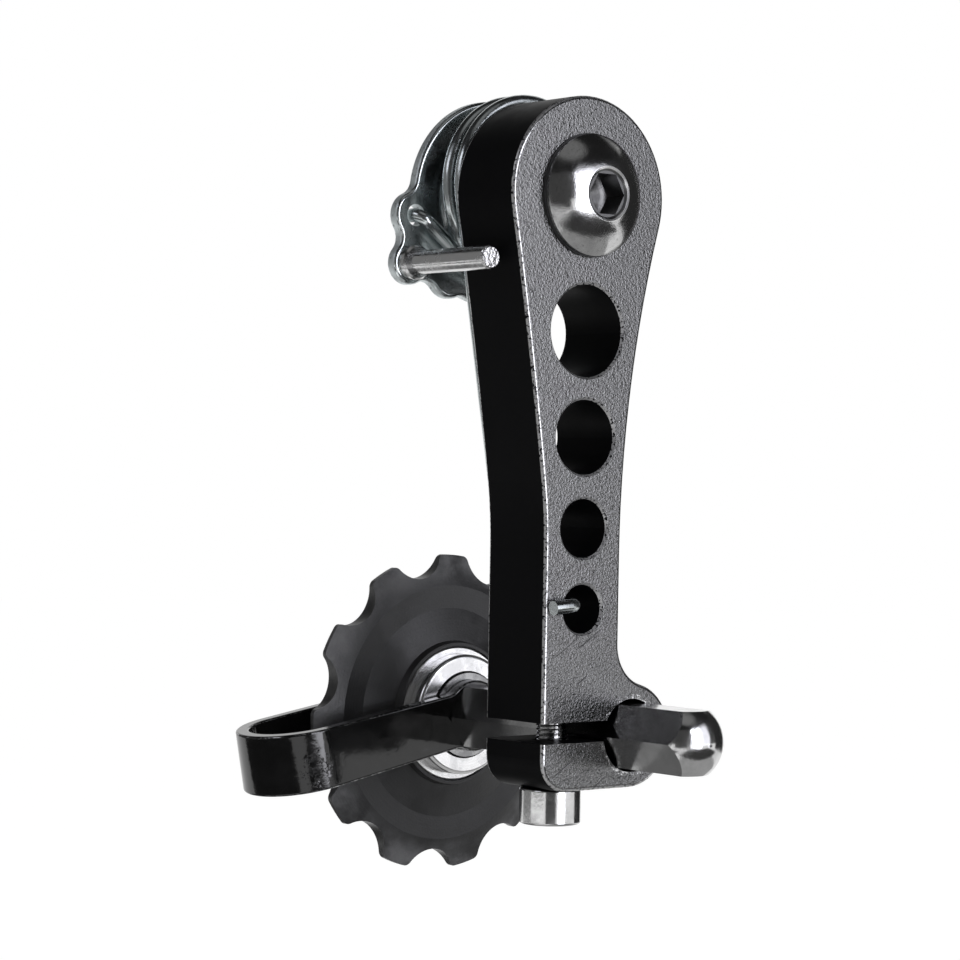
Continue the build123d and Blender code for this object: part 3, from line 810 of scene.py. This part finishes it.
# Pieces made over the solids
def make_ridge(name, root_radius, depth, pitch):
    """The outline of one thread ridge: the corner of a square that points outwards from the root."""
    bpy.ops.object.select_all(action="DESELECT")
    bpy.ops.mesh.primitive_circle_add(vertices=4, radius=pitch / 2, fill_type="NOTHING",
                                      rotation=(pi / 2, 0, 0))
    ridge = bpy.context.object
    ridge.name = name
    apply_place()
    edit_corners(ridge, lambda place: place.x < -pitch / 4)
    bpy.ops.mesh.delete(type="VERT")
    bpy.ops.mesh.select_all(action="SELECT")
    bpy.ops.transform.resize(value=(depth / (pitch / 2), 1, 1), center_override=(0, 0, 0))
    bpy.ops.transform.translate(value=(root_radius, 0, -pitch))
    close_edit()
    return ridge


def make_thread(name, outer_radius, pitch, length, lead_in, start, turn):
    """A cut thread of a given length, closed at its ends, that tapers along the lead-in at its end."""
    depth = pitch * thread_depth_ratio
    root_radius = outer_radius - depth
    thread = make_ridge(name, root_radius, depth, pitch)
    add_modifier("SCREW", axis="Z", screw_offset=pitch, iterations=int(length / pitch) + spare_turns,
                 steps=thread_steps, render_steps=thread_steps)
    merge_corners()
    cut_off((0, 0, length), (0, 0, 1))
    cut_off((0, 0, 0), (0, 0, -1))
    edit_corners(thread, lambda place: place.z > length - lead_in)
    taper = root_radius / outer_radius
    bpy.ops.transform.resize(value=(taper, taper, 1), center_override=(0, 0, 0))
    bpy.ops.mesh.select_all(action="SELECT")
    bpy.ops.mesh.normals_make_consistent(inside=False)
    close_edit()
    bpy.ops.object.shade_smooth_by_angle(angle=sharp_angle)
    thread.location = start
    thread.rotation_euler = turn
    apply_place()
    return thread


def build_spring():
    """The spring as one smooth wire, wound up between the plate and the arm."""
    spring = copy_node("torsion_spring", "spring_coil")
    smooth_over()
    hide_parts("torsion_spring")
    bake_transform(spring)


def build_pivot_bolt():
    """The pivot bolt with its hanger thread cut on the shank behind the stop plate."""
    head = copy_node("pivot_bolt", "pivot_bolt_head")
    cut_off((0, hanger_overlap, 0), (0, 1, 0))
    smooth_over()
    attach(head, "mount")
    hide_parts("pivot_bolt")
    thread = make_thread("pivot_bolt_thread", *hanger_thread, length=bolt_high.y, lead_in=hanger_lead_in,
                         start=pivot_centre, turn=(-pi / 2, 0, 0))
    thread.data.materials.append(finishes["thread"])
    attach(thread, "mount")


def sink_socket(head, mouth):
    """Cuts a hexagonal key socket upwards into a screw's head from the middle of its end."""
    across_corners = pinch_key / cos(pi / 6)
    bpy.ops.mesh.primitive_cylinder_add(vertices=6, radius=across_corners / 2,
                                        depth=2 * pinch_socket_depth, location=mouth)
    key = bpy.context.object
    make_active(head)
    add_modifier("BOOLEAN", operation="DIFFERENCE", object=key)
    bpy.data.objects.remove(key)


def build_pinch_bolt():
    """The pinch bolt, whose thread shows in the clamp's slit."""
    seat = arm_bottom
    thread_start = seat - pinch_overlap
    axis = (pinch_low + pinch_high) / 2
    head_radius = (pinch_high.x - pinch_low.x) / 2
    head_height = seat - pinch_low.z
    bpy.ops.object.select_all(action="DESELECT")
    bpy.ops.mesh.primitive_cylinder_add(vertices=pinch_head_sides, radius=head_radius, depth=head_height,
                                        location=(axis.x, axis.y, seat - head_height / 2))
    head = bpy.context.object
    head.name = "pinch_bolt_head"
    add_modifier("BEVEL", width=pinch_rim, segments=pinch_rim_steps)
    sink_socket(head, Vector((axis.x, axis.y, pinch_low.z)))
    apply_place()
    smooth_over()
    head.data.materials.append(finishes["screw_chrome"])
    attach(head, "arm")
    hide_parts("pinch_bolt")
    thread = make_thread("pinch_bolt_thread", *pinch_thread, length=pinch_high.z - thread_start,
                         lead_in=pinch_lead_in, start=(axis.x, axis.y, thread_start), turn=(0, 0, 0))
    thread.data.materials.append(finishes["screw_chrome"])
    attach(thread, "arm")


build_spring()
build_pivot_bolt()
build_pinch_bolt()


# Stage
def build_floor():
    """A pale floor below the part, white to the camera and to mirrors, that keeps soft shadows."""
    bpy.ops.mesh.primitive_circle_add(vertices=floor_sides, radius=floor_radius, fill_type="NGON",
                                      location=(0, 0, floor_z))
    floor = bpy.context.object
    floor.name = "floor"
    material, tree = new_material("pale floor")
    surface = tree.nodes["Principled BSDF"]
    set_inputs(tree, surface, Base_Color=grey(floor_grey), Roughness=floor_roughness)
    seen = add(tree, "LightPath").outputs
    shown = math_of(tree, "MAXIMUM", seen["Is Camera Ray"], seen["Is Glossy Ray"])
    shown = math_of(tree, "MAXIMUM", shown, seen["Is Transmission Ray"])
    white = add(tree, "Emission", {"Color": grey(1.0), "Strength": floor_glow})
    mixed = add(tree, "MixShader", {0: math_of(tree, "MULTIPLY", shown, floor_glow_share),
                                    1: surface.outputs[0], 2: white.outputs[0]})
    tree.links.new(mixed.outputs[0], tree.nodes["Material Output"].inputs["Surface"])
    floor.data.materials.append(material)


def build_world():
    """A white backdrop behind the part, a dark room round it for the mirrors, and soft fill."""
    world = bpy.data.worlds.new("studio")
    bpy.context.scene.world = world
    world.use_nodes = True
    tree = world.node_tree
    fill = tree.nodes["Background"]
    set_inputs(tree, fill, Color=grey(1.0), Strength=fill_level)
    seen = add(tree, "LightPath").outputs
    direction = add(tree, "TexCoord").outputs["Generated"]
    height = parts_of(tree, direction)["Z"]
    room = ramp_of(tree, height, 0.0, room_height, room_level_low, room_level_high)
    for aim, inner, outer, level in openings:
        towards = measure(tree, "DOT_PRODUCT", direction, aim)
        room = math_of(tree, "MAXIMUM", room, ramp_of(tree, towards, outer, inner, 0.0, level))
    mirror = add(tree, "Background", {"Color": grey(1.0), "Strength": room})
    white = add(tree, "Background", {"Color": grey(1.0), "Strength": 1.0})
    with_mirror = add(tree, "MixShader", {0: seen["Is Glossy Ray"], 1: fill.outputs[0],
                                          2: mirror.outputs[0]})
    direct = math_of(tree, "MAXIMUM", seen["Is Camera Ray"], seen["Is Transmission Ray"])
    with_white = add(tree, "MixShader", {0: direct, 1: with_mirror.outputs[0], 2: white.outputs[0]})
    tree.links.new(with_white.outputs[0], tree.nodes["World Output"].inputs["Surface"])


def heading(azimuth, elevation):
    """The direction at an azimuth, from the front towards the right, and an elevation, in degrees."""
    turn = radians(azimuth)
    lift = radians(elevation)
    return Vector((sin(turn) * cos(lift), -cos(turn) * cos(lift), sin(lift)))


def turn_to(thing, rotation):
    """Gives an object a rotation as a quaternion."""
    thing.rotation_mode = "QUATERNION"
    thing.rotation_quaternion = rotation


def add_softbox(name, azimuth, elevation, distance, width, height, radiance):
    """A soft rectangular lamp that faces the part."""
    away = heading(azimuth, elevation)
    bpy.ops.object.light_add(type="AREA", location=camera_target + away * distance)
    lamp = bpy.context.object
    lamp.name = name
    turn_to(lamp, (-away).to_track_quat("-Z", "Y"))
    lamp.data.shape = "RECTANGLE"
    lamp.data.size = width
    lamp.data.size_y = height
    lamp.data.energy = radiance * pi * width * height
    lamp.data.color = lamp_colour
    lamp.visible_camera = False


def add_card(name, centre, facing, width, height, level):
    """A plain card that only mirrors see."""
    bpy.ops.mesh.primitive_plane_add(size=1.0, location=centre)
    card = bpy.context.object
    card.name = name
    turn_to(card, facing.to_track_quat("Z", "Y"))
    card.scale = (width, height, 1.0)
    material, tree = new_material(name)
    glow = add(tree, "Emission", {"Color": grey(1.0), "Strength": level})
    tree.links.new(glow.outputs[0], tree.nodes["Material Output"].inputs["Surface"])
    card.data.materials.append(material)
    card.visible_camera = False
    card.visible_diffuse = False
    card.visible_transmission = False
    card.visible_shadow = False


def add_wall(name, azimuth, width, bottom, top, level):
    """A standing card at the wall distance."""
    away = heading(azimuth, 0)
    centre = away * wall_distance
    centre.z = (bottom + top) / 2
    add_card(name, centre, -away, width, top - bottom, level)


def add_table_top(name, across, along, width, length, level):
    """A card that lies on the floor."""
    add_card(name, Vector((across, along, floor_z + table_lift)), Vector((0, 0, 1)), width, length, level)


def build_camera():
    """The camera at the photograph's viewing angle."""
    away = heading(camera_azimuth, camera_elevation)
    bpy.ops.object.camera_add(location=camera_target + away * camera_distance)
    camera = bpy.context.object
    turn_to(camera, (-away).to_track_quat("-Z", "Y") @ Quaternion((0, 0, 1), radians(camera_roll)))
    camera.data.lens = camera_lens
    camera.data.sensor_width = camera_sensor
    camera.data.clip_start = camera_nearest
    bpy.context.scene.camera = camera


build_floor()
build_world()
for lamp_name, lamp in softboxes.items():
    add_softbox(lamp_name, *lamp)
for wall_name, wall in walls.items():
    add_wall(wall_name, *wall)
for table_name, table_top in table_tops.items():
    add_table_top(table_name, *table_top)
build_camera()
bpy.context.scene.view_settings.view_transform = "Standard"
